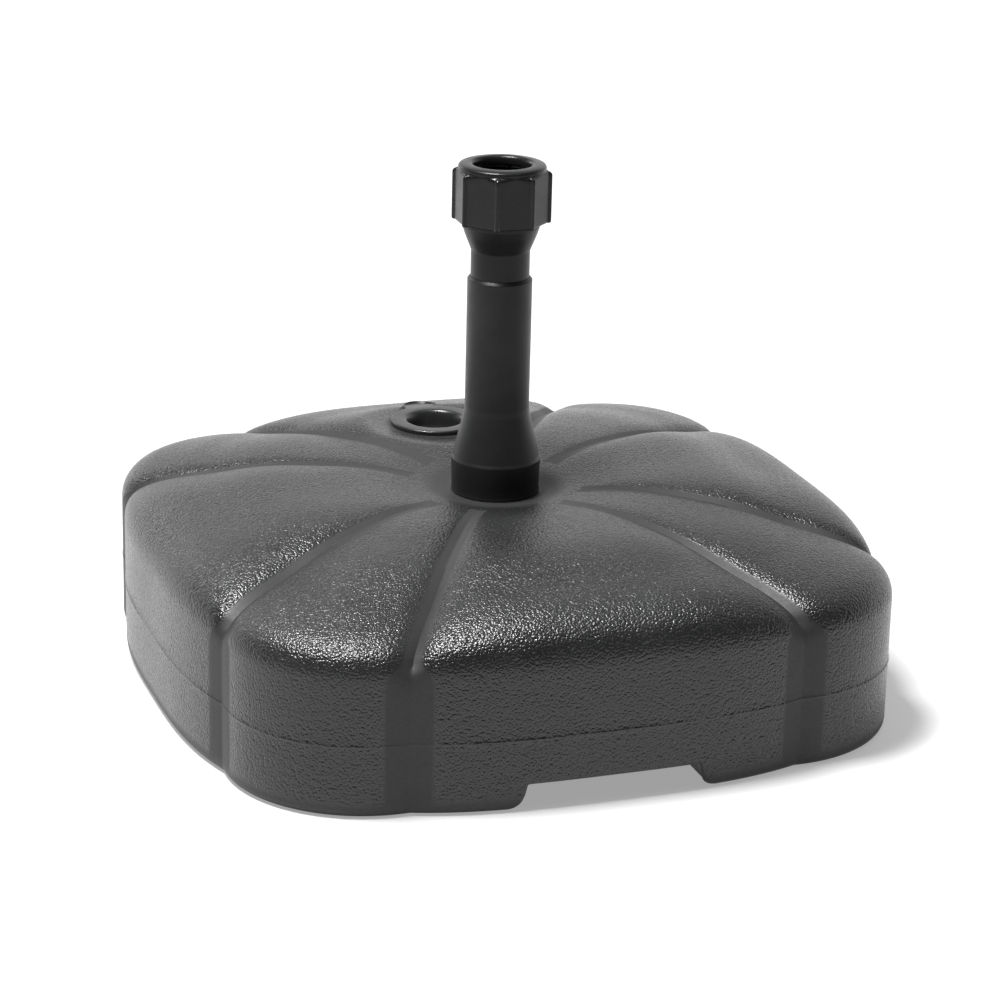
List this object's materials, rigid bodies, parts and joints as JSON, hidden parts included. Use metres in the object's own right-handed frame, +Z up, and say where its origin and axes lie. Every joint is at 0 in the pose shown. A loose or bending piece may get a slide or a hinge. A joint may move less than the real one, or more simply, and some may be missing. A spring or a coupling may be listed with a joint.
{
  "type": "parasol base",
  "caption": "Square, petal-shaped fillable parasol base: hollow plastic tank with grip notches and a filler plug, and an upright stem whose screw-down knob clamps the pole.",
  "frame": {"origin": "on the floor, under the middle of the stem", "axes": "+Z up along the stem, +Y towards the filler plug, -Y towards the front grip notch"},
  "size_m": [0.5, 0.5, 0.367],
  "materials": {
    "tank": "pebbled blow-moulded polyethylene, dark grey",
    "stem_tube": "smooth moulded polypropylene, dark grey",
    "nut_washer": "plain rubber washer",
    "stem_nut": "moulded nylon nut",
    "pole_stop": "moulded polypropylene",
    "neck_sleeve": "smooth moulded polypropylene, dark grey",
    "slip_ring": "slippery acetal ring",
    "clamp_knob": "satin moulded polypropylene, dark grey",
    "filler_plug": "soft moulded polyethylene, dark grey",
    "plug_seal": "rubber sealing ring",
    "collet": "moulded nylon fingers"
  },
  "bodies": {
    "base": {"tank": "tank", "stem_tube": "stem_tube", "nut_washer": "nut_washer", "stem_nut": "stem_nut", "pole_stop": "pole_stop", "neck_sleeve": "neck_sleeve"},
    "ring": {"slip_ring": "slip_ring"},
    "knob": {"clamp_knob": "clamp_knob"},
    "plug": {"filler_plug": "filler_plug", "plug_seal": "plug_seal"},
    "finger_1": {"collet_finger_1": "collet"},
    "finger_2": {"collet_finger_2": "collet"},
    "finger_3": {"collet_finger_3": "collet"},
    "finger_4": {"collet_finger_4": "collet"},
    "finger_5": {"collet_finger_5": "collet"},
    "finger_6": {"collet_finger_6": "collet"}
  },
  "joints": [
    {"name": "ring_travel", "type": "slide", "parent": "base", "child": "ring", "axis": [0, 0, -1], "range_m": [0, 0.006]},
    {"name": "knob_turn", "type": "hinge", "parent": "ring", "child": "knob", "pos_m": [0, 0, 0.345], "axis": [0, 0, -1], "range_deg": [0, 540]},
    {"name": "plug_pull", "type": "slide", "parent": "base", "child": "plug", "axis": [0, 0, 1], "range_m": [0, 0.06]},
    {"name": "finger_1_close", "type": "hinge", "parent": "base", "child": "finger_1", "pos_m": [0, 0.01785, 0.3296], "axis": [1, 0, 0], "range_deg": [0, 3.3]},
    {"name": "finger_2_close", "type": "hinge", "parent": "base", "child": "finger_2", "pos_m": [-0.01546, 0.00893, 0.3296], "axis": [0.5, 0.866, 0], "range_deg": [0, 3.3]},
    {"name": "finger_3_close", "type": "hinge", "parent": "base", "child": "finger_3", "pos_m": [-0.01546, -0.00893, 0.3296], "axis": [-0.5, 0.866, 0], "range_deg": [0, 3.3]},
    {"name": "finger_4_close", "type": "hinge", "parent": "base", "child": "finger_4", "pos_m": [0, -0.01785, 0.3296], "axis": [-1, 0, 0], "range_deg": [0, 3.3]},
    {"name": "finger_5_close", "type": "hinge", "parent": "base", "child": "finger_5", "pos_m": [0.01546, -0.00893, 0.3296], "axis": [-0.5, -0.866, 0], "range_deg": [0, 3.3]},
    {"name": "finger_6_close", "type": "hinge", "parent": "base", "child": "finger_6", "pos_m": [0.01546, 0.00893, 0.3296], "axis": [0.5, -0.866, 0], "range_deg": [0, 3.3]}
  ],
  "couplings": [
    {"joint": "ring_travel", "follows": "knob_turn", "m_per_rad": 0.00063661},
    {"joint": "finger_1_close", "follows": "knob_turn", "ratio": 0.00611},
    {"joint": "finger_2_close", "follows": "knob_turn", "ratio": 0.00611},
    {"joint": "finger_3_close", "follows": "knob_turn", "ratio": 0.00611},
    {"joint": "finger_4_close", "follows": "knob_turn", "ratio": 0.00611},
    {"joint": "finger_5_close", "follows": "knob_turn", "ratio": 0.00611},
    {"joint": "finger_6_close", "follows": "knob_turn", "ratio": 0.00611}
  ]
}
